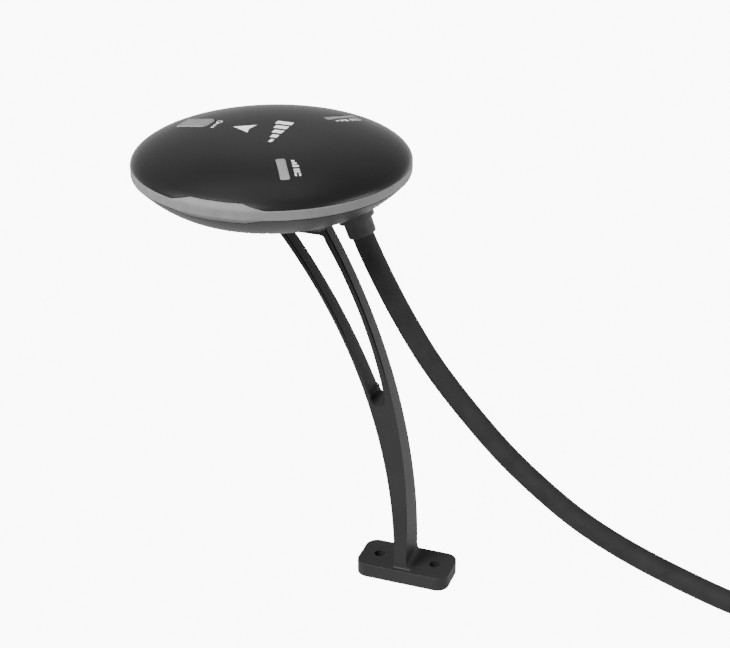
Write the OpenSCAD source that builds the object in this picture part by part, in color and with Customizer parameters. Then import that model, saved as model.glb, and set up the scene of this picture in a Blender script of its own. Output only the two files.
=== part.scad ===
// Satellite-positioning receiver puck on a forked mast, with its lead.
// Millimetres. Origin: centre of the mast foot's underside, between its two holes.
// +Z up, X along the foot, the puck overhangs to -X and the lead runs off to +X.

/* [Puck] */
// Radius of the puck
puck_r = 30; // [27:1:36]
// Height of the puck's flat underside above the foot's underside
puck_z = 88; // [75:1:106]
// Distance from the foot's centre to the puck's axis
puck_offset = 31.2; // [28:0.2:36]
// Height of the bowl below the light ring
bowl_h = 8.2; // [7.2:0.1:9.8]
// Radius of the flat in the middle of the bowl
bowl_flat_r = 9.6; // [8:0.1:11]
// Height of the light ring
ring_h = 2.1; // [1.8:0.1:2.5]
// Height of the domed cover
dome_h = 6; // [5.4:0.1:7.2]
// How far the light ring's top edge laps up the dome
dome_lap = 0.25; // [0.1:0.05:0.4]
// Wall of both covers
wall = 1.6; // [1.3:0.1:1.8]
// Seam between the covers and the light ring
seam = 0.05; // [0.02:0.01:0.1]

/* [Light ring] */
// Radial width of the light ring
ring_w = 2.7; // [2.3:0.1:3]
// Half width of each flank tab where it leaves the band
tab_root = 10; // [8:0.1:12]
// Half width of each flank tab at its end
tab_tip = 5.7; // [4.5:0.1:6.8]
// Height of the flank tab above the band
tab_up = 1.15; // [0.9:0.05:1.4]
// Depth of the flank tab below the band
tab_down = 0.95; // [0.7:0.05:1.2]

/* [Safety button] */
// Angle of the button round the puck's axis
button_angle = 173; // [166:1:180]
// Radius at the button's inner end
button_in = 14.5; // [13.5:0.1:15.5]
// Radius at the button's outer end
button_out = 22.4; // [21.5:0.1:23.4]
// Width of the button
button_w = 5.6; // [4.8:0.1:6.7]
// Corner radius of the button
button_corner = 1.5; // [1:0.1:1.9]
// Gap round the button
button_gap = 0.15; // [0.1:0.05:0.25]
// Height of the button above the dome
button_proud = 0.2; // [0.1:0.05:0.3]
// Travel of the button
button_travel = 0.3; // [0.2:0.05:0.35]

/* [Fix lamps] */
// Angle of the two lamp windows each side of the nose line
lamp_angle = 60.3; // [57:0.1:63]
// Radius at a window's inner end
lamp_in = 14.9; // [14.2:0.1:16]
// Radius at a window's outer end
lamp_out = 23.2; // [22:0.1:24]
// Width of a window
lamp_w = 2.1; // [1.8:0.1:2.5]
// Corner radius of a window
lamp_corner = 0.6; // [0.4:0.05:0.8]

/* [Board] */
// Radius of the circuit board
board_r = 22.5; // [21.5:0.1:23]
// Thickness of the circuit board
board_t = 1.2; // [1:0.1:1.4]
// Height of the board's underside above the puck's underside
board_lift = 5; // [4.9:0.05:5.3]
// Side of the square patch antenna
antenna_w = 25; // [21:0.5:25]
// Thickness of the patch antenna
antenna_t = 4; // [3.4:0.1:4.8]

/* [Mast] */
// Length of the foot
foot_l = 22; // [20:0.5:26]
// Width of the foot
foot_w = 10.9; // [10:0.1:13]
// Thickness of the foot
foot_t = 3.4; // [2.8:0.1:4]
// Corner radius of the foot
foot_corner = 2.8; // [2:0.1:3.4]
// Distance between the foot's two holes
hole_pitch = 13.35; // [12.5:0.05:15.5]
// Radius of the foot's holes
hole_r = 1.2; // [1:0.05:1.4]
// Half depth of the mast at the foot
mast_root = 4.6; // [4:0.1:5.2]
// Half depth of the mast at the head
mast_tip = 1.5; // [1.3:0.05:1.7]
// Height of the fork's crotch
fork_z = 45.4; // [40:0.1:54]
// Depth of the bridge under the head plate
bridge_h = 3.4; // [2.8:0.1:4]
// Radius at the foot of the mast
root_fillet = 2; // [1.6:0.1:2.4]

/* [Head plate] */
// Length of the head plate
plate_l = 20; // [19:0.1:21.5]
// Width of the head plate
plate_w = 12; // [11.4:0.1:13]
// Thickness of the head plate
plate_t = 2; // [1.7:0.1:2.4]
// Distance from the puck's axis to the plate's centre
plate_offset = 4; // [3.6:0.1:4.4]
// Screw spacing along the plate
plate_pitch_x = 14.8; // [14.2:0.1:15.2]
// Screw spacing across the plate
plate_pitch_y = 7.2; // [7.2:0.1:7.8]

/* [Lead] */
// Diameter of the lead's jacket
lead_d = 4.8; // [4.4:0.1:5]
// Radius of the collar where the lead leaves
collar_r = 3.1; // [2.9:0.1:3.4]
// Length of the collar below its flange
collar_l = 3.6; // [3:0.1:4.4]
// Tilt of the collar from the vertical
collar_tilt = 20.5; // [18:0.5:22]
// Turns in the stowed coil
coil_turns = 1.25; // [1.25:0.05:1.4]
// Radius at the middle of the coil's first turn
coil_r = 20; // [20:0.5:24]
// Width of the plug
plug_w = 14.75; // [13:0.25:16]
// Length of the plug
plug_l = 6; // [5.2:0.1:7]
// Height of the plug
plug_h = 3.6; // [3.2:0.1:4]

/* [Hidden] */
$fn = 64;

// Puck levels
puck_x = -puck_offset;
rim_z = puck_z + bowl_h;
ring_top = rim_z + ring_h;
dome_z0 = ring_top - dome_lap;
board_z = puck_z + board_lift;
board_top = board_z + board_t;
bowl_power = 2.75;
dome_power = 3;
dome_round = 1.7;
profile_steps = 18;
ring_in = puck_r - ring_w;
tongue_t = 1;
tongue_out = ring_in - 0.1;
tongue_in = tongue_out - tongue_t;
tongue_top = rim_z + 1.2;
skirt_out = tongue_in - 0.1;
skirt_in = skirt_out - 1.1;
cover_low = ring_top + seam;

// Board details
header_x = 12.9;
header_w = 14.2;
feed_x = 2.2;
feed_hole_r = 0.65;
electrode_t = 0.1;
notch_x = 16.4;
notch_w = 10.4;
chip_t = 0.9;
can_h = 2.1;
can_t = 0.2;
led_h = 0.8;
vent_angle = -80;
vent_step = 4.8;
vent_w = 0.8;
vent_in = 15.5;
vent_out = 23.4;
vent_drop = 0.2;

// Fasteners
screw_r = 0.97;
screw_hole_r = 1.1;
pilot_r = 1;
head_r = 1.8;
head_h = 1.1;
boss_r = 2.2;
pocket_r = head_r + 0.2;
pocket_z = puck_z + 2.1;
cover_screw_at = [[-9.5, 16], [-9.5, -16], [15.8, 9.6], [15.8, -9.6]];
cover_screw_top = board_top + 3.8;
insert_r = 1.6;
insert_h = 3;
slack = 0.02;
plate_x = puck_x + plate_offset;
plate_z = puck_z - plate_t;

// Button and switch
flange_w = 0.7;
flange_t = 0.6;
flange_gap = 0.15;
stem_r = 1.2;
switch_r = 18;
switch_w = [3.2, 4.2, 2];
plunger_r = 0.8;
plunger_up = 0.8;
plunger_in = 0.8;
plunger_gap = 0.05;
switch_top = board_top + switch_w[2];
plunger_top = switch_top + plunger_up;

// Mast edges: [x at the foot, height where the edge is upright, x at the head from plate_x]
edge_left = [-1.7, 1.5, -5.5];
edge_left_in = [1.05, -5.1, -3.7];
edge_right_in = [-2.2, 20.5, 5.6];
edge_right = [1.2, 9.9, 7.8];
taper_power = 2.2;
edge_steps = 24;
bridge_z = plate_z - bridge_h;
gap_corner = 1;

// Lead exit: the collar's axis meets its lower end here
exit = [20.5 + puck_x, 0, puck_z - 4.4];
axis_up = [-sin(collar_tilt), 0, cos(collar_tilt)];
flange_r = collar_r + 0.85;
collar_flange_t = 1.6;
neck_r = collar_r - 0.1;
neck_l = 2.5;
cable_r = lead_d / 2;
bore_r = cable_r + 0.02;
inner_end = 8.3;

// Lead route from the collar down to the coil, then the coil and what follows it
tube_sides = 10;
cable_path = [exit + inner_end * axis_up, exit, [-7.4, 0, 76.5], [-1.7, 0, 66], [5.1, 0, 55.5],
    [13.5, 0, 45.3], [23.4, 0, 35.1], [35.7, 0, 25.3], [43.2, 0, 20.7], [52.1, 0, 16.5],
    [62.6, 0, 12.6], [74, 0, 9.1], [80, 0, 8], [86, 0, 7.4], [92, 0, 7.2], [96, 0, 7.1],
    [100, 0, 6.5], [104, 0, 5.4], [108, 0, 4.3], [113, 0.6, 3.2]];
coil_at = [108, coil_r];
coil_in = coil_r - cable_r;
coil_end_r = coil_r + lead_d * coil_turns;
coil_out = coil_end_r + cable_r;
tail_angle = 360 * coil_turns - 90;
tail_l = 16.5;
sleeve_r = cable_r + 0.4;
sleeve_l = 7;
wires_l = 14;
wire_count = 10;
wire_pitch = 1.25;
wire_r = 0.45;
tie_angle = -30;
tie_w = 3;
tie_t = 0.5;
tie_mid = coil_r + lead_d * (tie_angle + 90) / 360;
tie_in = tie_mid - cable_r;
tie_out = tie_mid + lead_d + cable_r;

// ---- outlines ----

function bowl_z(r) =
    puck_z + bowl_h * pow(max(0, r - bowl_flat_r) / (puck_r - bowl_flat_r), bowl_power);

function dome_z(r) =
    dome_z0 + dome_h * pow(1 - pow(min(1, r / puck_r), dome_power), 1 / dome_round);

function edge_x(z, edge) =
    let (run = edge[0] - plate_x - edge[2], rise = plate_z - edge[1],
        radius = (run * run + rise * rise) / (2 * run), up = z - edge[1])
    edge[0] - radius + sqrt(radius * radius - up * up);

function mast_half(z) =
    mast_tip + (mast_root - mast_tip) * pow(1 - z / puck_z, taper_power);

function between(a, b, i, n) = a + (b - a) * i / n;

// The puck's whole outside as one solid of revolution
module puck_solid() {
    rotate_extrude()
        polygon(concat(
            [[0, puck_z], [bowl_flat_r, puck_z]],
            [for (i = [1:profile_steps]) let (r = between(bowl_flat_r, puck_r, i, profile_steps))
                [r, bowl_z(r)]],
            [for (i = [0:profile_steps]) let (r = puck_r * sin(90 - 90 * i / profile_steps))
                [max(r, 0), dome_z(r)]]));
}

module at_puck() {
    translate([puck_x, 0, 0]) children();
}

module tube_ring(r_in, r_out, z0, z1) {
    translate([0, 0, z0])
        difference() {
            cylinder(r = r_out, h = z1 - z0);
            translate([0, 0, -1]) cylinder(r = r_in, h = z1 - z0 + 2);
        }
}

// Rounded rectangle, centred
module round_rect(l, w, corner) {
    square([l - 2 * corner, w], center = true);
    square([l, w - 2 * corner], center = true);
    for (sx = [-1, 1], sy = [-1, 1])
        translate([sx * (l / 2 - corner), sy * (w / 2 - corner)]) circle(r = corner);
}

// Upright prism over a slot that lies along a radius of the puck
module radial_prism(angle, r_in, r_out, w, corner, z0, z1) {
    rotate([0, 0, angle])
        translate([(r_in + r_out) / 2, 0, z0])
            linear_extrude(z1 - z0) round_rect(r_out - r_in, w, corner);
}

// Space taken by the light ring, grown by a gap
module ring_zone(gap) {
    difference() {
        union() {
            tube_ring(ring_in - gap - 1, puck_r + 1, rim_z - gap, ring_top + gap);
            rotate([90, 0, 0])
                linear_extrude(2 * puck_r + 2, center = true)
                    polygon([[-tab_root - gap, ring_top - 0.1], [-tab_tip - gap, ring_top + tab_up + gap],
                        [tab_tip + gap, ring_top + tab_up + gap], [tab_root + gap, ring_top - 0.1],
                        [tab_root + gap, rim_z + 0.1], [tab_tip + gap, rim_z - tab_down - gap],
                        [-tab_tip - gap, rim_z - tab_down - gap], [-tab_root - gap, rim_z + 0.1]]);
        }
        translate([0, 0, puck_z]) cylinder(r = ring_in - gap, h = 2 * bowl_h);
    }
}

// ---- housing ----

module top_cover() {
    color([0.2, 0.2, 0.2]) at_puck() difference() {
        union() {
            difference() {
                intersection() {
                    puck_solid();
                    translate([0, 0, cover_low]) cylinder(r = puck_r + 1, h = 2 * dome_h);
                }
                rotate_extrude()
                    polygon(concat([[0, cover_low - 1], [skirt_in, cover_low - 1]],
                        [for (i = [0:profile_steps]) let (r = between(skirt_in, 0, i, profile_steps))
                            [r, dome_z(r) - wall]]));
            }
            tube_ring(skirt_in, skirt_out, rim_z + 0.4, cover_low + 0.6);
            for (p = cover_screw_at)
                translate([p[0], p[1], board_top])
                    cylinder(r = boss_r, h = dome_z(norm(p) + boss_r) - 0.6 * wall - board_top);
        }
        ring_zone(seam);
        for (p = cover_screw_at)
            translate([p[0], p[1], board_top - 1]) cylinder(r = pilot_r, h = cover_screw_top - board_top + 1.4);
        radial_prism(button_angle, button_in, button_out, button_w, button_corner, board_top, puck_z + 30);
        for (side = [-1, 1])
            radial_prism(side * lamp_angle, lamp_in, lamp_out, lamp_w, lamp_corner, board_top, puck_z + 30);
    }
}

module light_ring() {
    color([0.66, 0.66, 0.66]) at_puck() intersection() {
        puck_solid();
        ring_zone(0);
    }
}

module vent_slots() {
    for (i = [-2:2])
        rotate([0, 0, vent_angle + vent_step * i])
            translate([vent_in, -vent_w / 2, puck_z - vent_drop])
                cube([vent_out - vent_in, vent_w, board_lift]);
}

module bottom_cover() {
    color([0.3, 0.3, 0.3]) difference() {
        union() {
            at_puck() difference() {
                intersection() {
                    puck_solid();
                    translate([0, 0, puck_z - 1]) cylinder(r = puck_r + 1, h = bowl_h + 1);
                }
                rotate_extrude()
                    polygon(concat([[0, rim_z + 1], [0, puck_z + wall], [bowl_flat_r, puck_z + wall]],
                        [for (i = [1:profile_steps])
                            let (r = between(bowl_flat_r, skirt_out, i, profile_steps)) [r, bowl_z(r) + wall]],
                        [[skirt_out, rim_z + 1]]));
                ring_zone(seam);
                vent_slots();
            }
            at_puck() tube_ring(tongue_in, tongue_out, rim_z - 0.6, tongue_top);
            at_puck() for (p = cover_screw_at)
                translate([p[0], p[1], bowl_z(norm(p) + boss_r)])
                    cylinder(r = boss_r + 0.4, h = board_z - bowl_z(norm(p) + boss_r));
            translate([plate_x, 0, puck_z])
                linear_extrude(1.2) round_rect(plate_l + 0.6, plate_w + 0.6, 3);
            for (sx = [-1, 1], sy = [-1, 1])
                translate([plate_x + sx * plate_pitch_x / 2, sy * plate_pitch_y / 2, puck_z])
                    cylinder(r = insert_r + 0.7, h = insert_h + 0.8);
            along_exit(collar_l + collar_flange_t) cylinder(r = flange_r + 0.4, h = neck_l + 0.6);
        }
        at_puck() for (p = cover_screw_at) translate([p[0], p[1], puck_z - 1]) {
            cylinder(r = screw_hole_r, h = board_lift + 2);
            cylinder(r = pocket_r, h = pocket_z - puck_z + 1);
        }
        for (sx = [-1, 1], sy = [-1, 1])
            translate([plate_x + sx * plate_pitch_x / 2, sy * plate_pitch_y / 2, puck_z - 1])
                cylinder(r = insert_r + slack, h = insert_h + 1 + slack);
        along_exit(collar_l) cylinder(r = neck_r + slack, h = neck_l + 3);
        along_exit(collar_l - 2) cylinder(r = flange_r + 0.5, h = collar_flange_t + 2);
        along_exit(collar_l + collar_flange_t + neck_l) cylinder(r = flange_r + 0.7, h = 3);
    }
}

module housing_seal() {
    color([0.1, 0.1, 0.1]) at_puck()
        tube_ring(tongue_in + 0.1, tongue_out - 0.1, tongue_top + slack, cover_low - slack);
}

// ---- button, switch and lamps ----

// Layer that follows the dome, between two depths below it
module dome_layer(upper, lower) {
    difference() {
        translate([0, 0, -upper]) puck_solid();
        translate([0, 0, -lower]) puck_solid();
    }
}

module safety_button() {
    gap = button_gap;
    lip = flange_w;
    color([0.6, 0.6, 0.6]) at_puck() {
        intersection() {
            dome_layer(-button_proud, wall + flange_gap + flange_t);
            radial_prism(button_angle, button_in + gap, button_out - gap, button_w - 2 * gap,
                button_corner - gap, board_top + 2, puck_z + 30);
        }
        intersection() {
            dome_layer(wall + flange_gap, wall + flange_gap + flange_t);
            radial_prism(button_angle, button_in - lip, button_out + lip, button_w + 2 * lip,
                button_corner, board_top + 2, puck_z + 30);
        }
        rotate([0, 0, button_angle])
            translate([switch_r, 0, plunger_top + plunger_gap])
                cylinder(r = stem_r, h = dome_z(switch_r) - wall - plunger_top - plunger_gap);
    }
}

module fix_window(side) {
    color([0.7, 0.7, 0.7]) at_puck() {
        intersection() {
            dome_layer(0, wall + 0.4);
            radial_prism(side * lamp_angle, lamp_in + slack, lamp_out - slack, lamp_w - 2 * slack,
                lamp_corner - slack, board_top + 2, puck_z + 30);
        }
        rotate([0, 0, side * lamp_angle])
            translate([(lamp_in + lamp_out) / 2, 0, board_top + 0.8])
                cylinder(r = lamp_w / 2 - 0.15, h = dome_z((lamp_in + lamp_out) / 2) - wall - board_top - 0.8);
    }
}

module fix_window_front() {
    fix_window(-1);
}

module fix_window_rear() {
    fix_window(1);
}

module switch_body() {
    color([0.25, 0.25, 0.27]) at_puck() rotate([0, 0, button_angle])
        difference() {
            translate([switch_r - switch_w[0] / 2, -switch_w[1] / 2, board_top]) cube(switch_w);
            translate([switch_r, 0, switch_top - plunger_in - button_travel - 0.1])
                cylinder(r = plunger_r + 0.05, h = 2);
        }
}

module switch_plunger() {
    color([0.85, 0.85, 0.8]) at_puck() rotate([0, 0, button_angle])
        translate([switch_r, 0, switch_top - plunger_in]) cylinder(r = plunger_r, h = plunger_in + plunger_up);
}

// ---- board and what it carries ----

module main_board() {
    color([0.05, 0.3, 0.16]) at_puck() difference() {
        translate([0, 0, board_z]) cylinder(r = board_r, h = board_t);
        for (p = cover_screw_at)
            translate([p[0], p[1], board_z - 1]) cylinder(r = screw_hole_r, h = board_t + 2);
        translate([notch_x, -notch_w / 2, board_z - 1]) cube([board_r, notch_w, board_t + 2]);
    }
}

module patch_antenna() {
    color([0.85, 0.8, 0.7]) at_puck() difference() {
        translate([-antenna_w / 2, -antenna_w / 2, board_top]) cube([antenna_w, antenna_w, antenna_t]);
        translate([feed_x, 0, board_top - 1]) cylinder(r = feed_hole_r, h = antenna_t + 2);
    }
}

module antenna_electrode() {
    side = antenna_w - 4;
    color([0.8, 0.8, 0.78]) at_puck() difference() {
        translate([-side / 2, -side / 2, board_top + antenna_t]) cube([side, side, electrode_t]);
        translate([feed_x, 0, board_top]) cylinder(r = feed_hole_r, h = antenna_t + 2);
    }
}

module antenna_feed() {
    color([0.75, 0.75, 0.75]) at_puck() translate([feed_x, 0, board_top]) {
        cylinder(r = 0.6, h = antenna_t + 0.2);
        translate([0, 0, antenna_t + electrode_t]) cylinder(r = 1.1, h = 0.3);
    }
}

module gnss_chip() {
    color([0.12, 0.12, 0.12]) at_puck() translate([-15.5, -3, board_z - chip_t]) cube([6, 6, chip_t]);
}

module shield_can() {
    color([0.75, 0.75, 0.75]) at_puck() difference() {
        translate([-17.5, -4.8, board_z - can_h]) cube([10, 9.6, can_h]);
        translate([-17.5 + can_t, -4.8 + can_t, board_z - can_h + can_t])
            cube([10 - 2 * can_t, 9.6 - 2 * can_t, can_h]);
    }
}

module compass_chip() {
    color([0.12, 0.12, 0.12]) at_puck() translate([2, 8, board_z - chip_t]) cube([2, 2, chip_t]);
}

module buzzer() {
    color([0.15, 0.15, 0.15]) at_puck() translate([1.5, -15, board_z - 1.8]) difference() {
        cylinder(r = 4.4, h = 1.8);
        translate([0, 0, -1]) cylinder(r = 0.7, h = 1.6);
    }
}

module status_leds() {
    color([0.95, 0.95, 0.9]) at_puck() {
        for (i = [0:7])
            rotate([0, 0, 22.5 + 45 * i]) translate([board_r - 2.5, -1, board_top]) cube([2, 2, led_h]);
        for (side = [-1, 1])
            rotate([0, 0, side * lamp_angle])
                translate([(lamp_in + lamp_out) / 2 - 0.8, -0.8, board_top]) cube([1.6, 1.6, 0.7]);
    }
}

module board_header() {
    color([0.9, 0.88, 0.8]) at_puck() difference() {
        translate([header_x, -header_w / 2, board_top]) cube([3, header_w, 3]);
        translate([header_x + 0.8, -header_w / 2 + 0.6, board_top + 0.6]) cube([3, header_w - 1.2, 1.9]);
    }
}

module inner_plug() {
    color([0.92, 0.9, 0.84]) at_puck()
        translate([header_x + 0.85, -header_w / 2 + 0.7, board_top + 0.65]) cube([3.1, header_w - 1.4, 1.8]);
}

// Straight round rod between two points
module rod(a, b, r) {
    v = b - a;
    translate(a)
        rotate([0, acos(v[2] / norm(v)), atan2(v[1], v[0])]) cylinder(r = r, h = norm(v));
}

module inner_leads() {
    color([0.7, 0.15, 0.12]) at_puck() for (i = [0:wire_count - 1]) {
        y = (i - (wire_count - 1) / 2) * wire_pitch;
        rod([header_x + 4.4, y, board_top + 1.55], [header_x + 4.9, 0.35 * y, board_z - 1.2], 0.35);
    }
}

// ---- fasteners ----

module pan_screw(l) {
    cylinder(r = screw_r, h = l);
    translate([0, 0, -head_h]) difference() {
        cylinder(r = head_r, h = head_h);
        translate([0, 0, -1]) cylinder(r = 0.9, h = 1.6, $fn = 6);
    }
}

module cover_screws() {
    color([0.2, 0.2, 0.2]) at_puck() for (p = cover_screw_at)
        translate([p[0], p[1], pocket_z]) pan_screw(cover_screw_top - pocket_z);
}

module bracket_screws() {
    color([0.2, 0.2, 0.2]) for (sx = [-1, 1], sy = [-1, 1])
        translate([plate_x + sx * plate_pitch_x / 2, sy * plate_pitch_y / 2, plate_z]) pan_screw(plate_t + 2.6);
}

module threaded_inserts() {
    color([0.75, 0.6, 0.3]) for (sx = [-1, 1], sy = [-1, 1])
        translate([plate_x + sx * plate_pitch_x / 2, sy * plate_pitch_y / 2, puck_z])
            tube_ring(pilot_r, insert_r, 0, insert_h);
}

// ---- mast ----

module mast_outline() {
    difference() {
        polygon(concat(
            [for (i = [0:edge_steps]) let (z = between(edge_left[1], plate_z + 0.5, i, edge_steps))
                [edge_x(z, edge_left), z]],
            [for (i = [0:edge_steps]) let (z = between(plate_z + 0.5, edge_right[1], i, edge_steps))
                [edge_x(z, edge_right), z]],
            [for (a = [0:15:90])
                [edge_right[0] + root_fillet * (1 - cos(a)), foot_t + root_fillet * (1 - sin(a))]],
            [[edge_right[0] + root_fillet, edge_left[1]]]));
        gap_outline();
    }
}

module gap_outline() {
    left = edge_x(fork_z, edge_left_in);
    right = edge_x(fork_z, edge_right_in);
    corner_z = bridge_z - gap_corner;
    translate([(left + right) / 2, fork_z]) circle(r = (right - left) / 2);
    polygon(concat(
        [for (i = [0:edge_steps]) let (z = between(fork_z, bridge_z, i, edge_steps))
            [edge_x(z, edge_left_in), z]],
        [for (a = [90:-15:0])
            [edge_x(corner_z, edge_right_in) - gap_corner * (1 - cos(a)), corner_z + gap_corner * sin(a)]],
        [for (i = [1:edge_steps]) let (z = between(corner_z, fork_z, i, edge_steps))
            [edge_x(z, edge_right_in), z]]));
}

module mast_taper() {
    halves = [for (i = [0:edge_steps]) let (z = between(0, puck_z, i, edge_steps)) [mast_half(z), z]];
    polygon(concat(halves, [for (i = [edge_steps:-1:0]) [-halves[i][0], halves[i][1]]]));
}

module bracket() {
    color([0.22, 0.22, 0.22]) difference() {
        union() {
            linear_extrude(foot_t) round_rect(foot_l, foot_w, foot_corner);
            intersection() {
                rotate([90, 0, 0]) linear_extrude(2 * foot_w, center = true) mast_outline();
                rotate([90, 0, 90]) linear_extrude(4 * puck_offset, center = true) mast_taper();
            }
            translate([plate_x, 0, plate_z]) linear_extrude(plate_t) round_rect(plate_l, plate_w, 2.6);
        }
        for (side = [-1, 1])
            translate([side * hole_pitch / 2, 0, -1]) cylinder(r = hole_r, h = foot_t + 2);
        for (sx = [-1, 1], sy = [-1, 1])
            translate([plate_x + sx * plate_pitch_x / 2, sy * plate_pitch_y / 2, plate_z - 1])
                cylinder(r = screw_hole_r, h = plate_t + 2);
    }
}

// ---- lead ----

// Places its children on the lead's exit axis, a distance up from the collar's lower end
module along_exit(up) {
    translate(exit + up * axis_up) rotate([0, -collar_tilt, 0]) children();
}

module cable_collar() {
    z1 = collar_l;
    z2 = z1 + collar_flange_t;
    z3 = z2 + neck_l;
    color([0.16, 0.16, 0.16]) along_exit(0) rotate_extrude()
        polygon([[bore_r, 0], [collar_r - 0.3, 0], [collar_r, 0.3], [collar_r, z1], [flange_r, z1],
            [flange_r, z2], [neck_r, z2], [neck_r, z3], [flange_r, z3], [flange_r, z3 + 0.8], [bore_r, z3 + 0.8]]);
}

function unit(v) = v / norm(v);

// Closed tube of round section through a list of points
module swept_tube(path, r, sides) {
    last = len(path) - 1;
    rings = [for (i = [0:last])
        let (ahead = unit(path[min(i + 1, last)] - path[max(i - 1, 0)]),
            side = unit(cross([0, 1, 0], ahead)), over = cross(ahead, side))
        for (k = [0:sides - 1])
            path[i] + r * (cos(360 * k / sides) * side + sin(360 * k / sides) * over)];
    walls = [for (i = [0:last - 1], k = [0:sides - 1])
        let (a = i * sides + k, b = i * sides + (k + 1) % sides)
        [a, a + sides, b + sides, b]];
    caps = [[for (k = [0:sides - 1]) k], [for (k = [sides - 1:-1:0]) last * sides + k]];
    polyhedron(points = rings, faces = concat(walls, caps));
}

module cable() {
    color([0.2, 0.2, 0.2]) swept_tube(cable_path, cable_r, tube_sides);
}

module at_coil() {
    translate([coil_at[0], coil_at[1], 0]) children();
}

module cable_coil() {
    color([0.2, 0.2, 0.2]) at_coil() rotate_extrude()
        translate([coil_in, 0]) square([coil_out - coil_in, lead_d]);
}

// The straight end of the lead: children start where it leaves the coil and run along +Y
module at_tail(along) {
    at_coil() rotate([0, 0, tail_angle]) translate([coil_end_r, along, 0]) children();
}

module cable_tail() {
    color([0.2, 0.2, 0.2]) at_tail(0) translate([0, 0, cable_r]) rotate([-90, 0, 0]) cylinder(r = cable_r, h = tail_l);
}

module cable_tie() {
    color([0.12, 0.12, 0.12]) at_coil() rotate([0, 0, tie_angle])
        translate([(tie_in + tie_out) / 2, tie_w / 2, (lead_d + tie_t) / 2]) rotate([90, 0, 0])
            linear_extrude(tie_w) difference() {
                round_rect(tie_out - tie_in + 2 * tie_t, lead_d + tie_t, cable_r);
                translate([0, -tie_t / 2]) round_rect(tie_out - tie_in, lead_d - tie_t, 2);
            }
}

module lead_sleeve() {
    color([0.08, 0.08, 0.08]) at_tail(tail_l) translate([0, 0, sleeve_r]) rotate([-90, 0, 0])
        cylinder(r = sleeve_r, h = sleeve_l);
}

module lead_wires() {
    color([0.15, 0.15, 0.15]) at_tail(tail_l + sleeve_l) for (i = [0:wire_count - 1]) {
        k = i - (wire_count - 1) / 2;
        rod([0.42 * k, 0, sleeve_r], [wire_pitch * k, wires_l, plug_h / 2], wire_r);
    }
}

module plug_housing() {
    color([0.9, 0.88, 0.82]) at_tail(tail_l + sleeve_l + wires_l) difference() {
        translate([-plug_w / 2, 0, 0]) cube([plug_w, plug_l, plug_h]);
        for (i = [0:wire_count - 1])
            translate([(i - (wire_count - 1) / 2) * wire_pitch - 0.4, plug_l - 3, plug_h / 2 - 0.6])
                cube([0.8, 4, 1.2]);
    }
}

module plug_contacts() {
    color([0.8, 0.7, 0.4]) at_tail(tail_l + sleeve_l + wires_l) for (i = [0:wire_count - 1])
        translate([(i - (wire_count - 1) / 2) * wire_pitch - 0.25, plug_l - 2.9, plug_h / 2 - 0.4])
            cube([0.5, 2.2, 0.8]);
}

top_cover();
light_ring();
bottom_cover();
housing_seal();
safety_button();
fix_window_front();
fix_window_rear();
main_board();
patch_antenna();
antenna_electrode();
antenna_feed();
gnss_chip();
shield_can();
compass_chip();
buzzer();
switch_body();
switch_plunger();
status_leds();
board_header();
inner_plug();
inner_leads();
cover_screws();
bracket();
bracket_screws();
threaded_inserts();
cable_collar();
cable();
cable_coil();
cable_tail();
cable_tie();
lead_sleeve();
lead_wires();
plug_housing();
plug_contacts();
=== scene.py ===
# Looks of a satellite-positioning receiver on its forked mast. Metres, in the CAD model's frame.
import bmesh
import bpy
import math
from mathutils import Matrix, Quaternion, Vector


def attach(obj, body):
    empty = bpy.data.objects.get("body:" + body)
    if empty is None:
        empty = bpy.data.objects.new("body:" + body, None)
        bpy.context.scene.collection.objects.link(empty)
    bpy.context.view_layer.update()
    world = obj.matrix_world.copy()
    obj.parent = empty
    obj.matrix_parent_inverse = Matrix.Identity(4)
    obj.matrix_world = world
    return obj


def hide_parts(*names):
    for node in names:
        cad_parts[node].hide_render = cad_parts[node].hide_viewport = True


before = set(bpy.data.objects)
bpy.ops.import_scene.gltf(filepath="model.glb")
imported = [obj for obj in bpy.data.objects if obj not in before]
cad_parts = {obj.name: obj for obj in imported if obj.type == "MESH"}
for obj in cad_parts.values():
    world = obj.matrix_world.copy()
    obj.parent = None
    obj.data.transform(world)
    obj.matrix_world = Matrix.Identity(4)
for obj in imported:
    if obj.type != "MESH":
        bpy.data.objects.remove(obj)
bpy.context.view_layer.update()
MM = 0.001

# ---- camera ----
# A long lens a little above the disc, to the right of the nose line, as a product is shown.
camera = bpy.data.objects.new("camera", bpy.data.cameras.new("camera"))
camera.data.lens, camera.data.sensor_width = 83.2, 36
camera.data.clip_start, camera.data.clip_end = 0.01, 10
camera.location = Vector((102.254, -310.020, 225.409)) * MM
look = Vector((-9.03, -3.28, 64.08)) * MM - camera.location
roll = Quaternion((0, 0, 1), math.radians(-0.115))
camera.rotation_euler = (look.to_track_quat("-Z", "Y") @ roll).to_euler()
bpy.context.scene.collection.objects.link(camera)
bpy.context.scene.camera = camera


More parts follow.
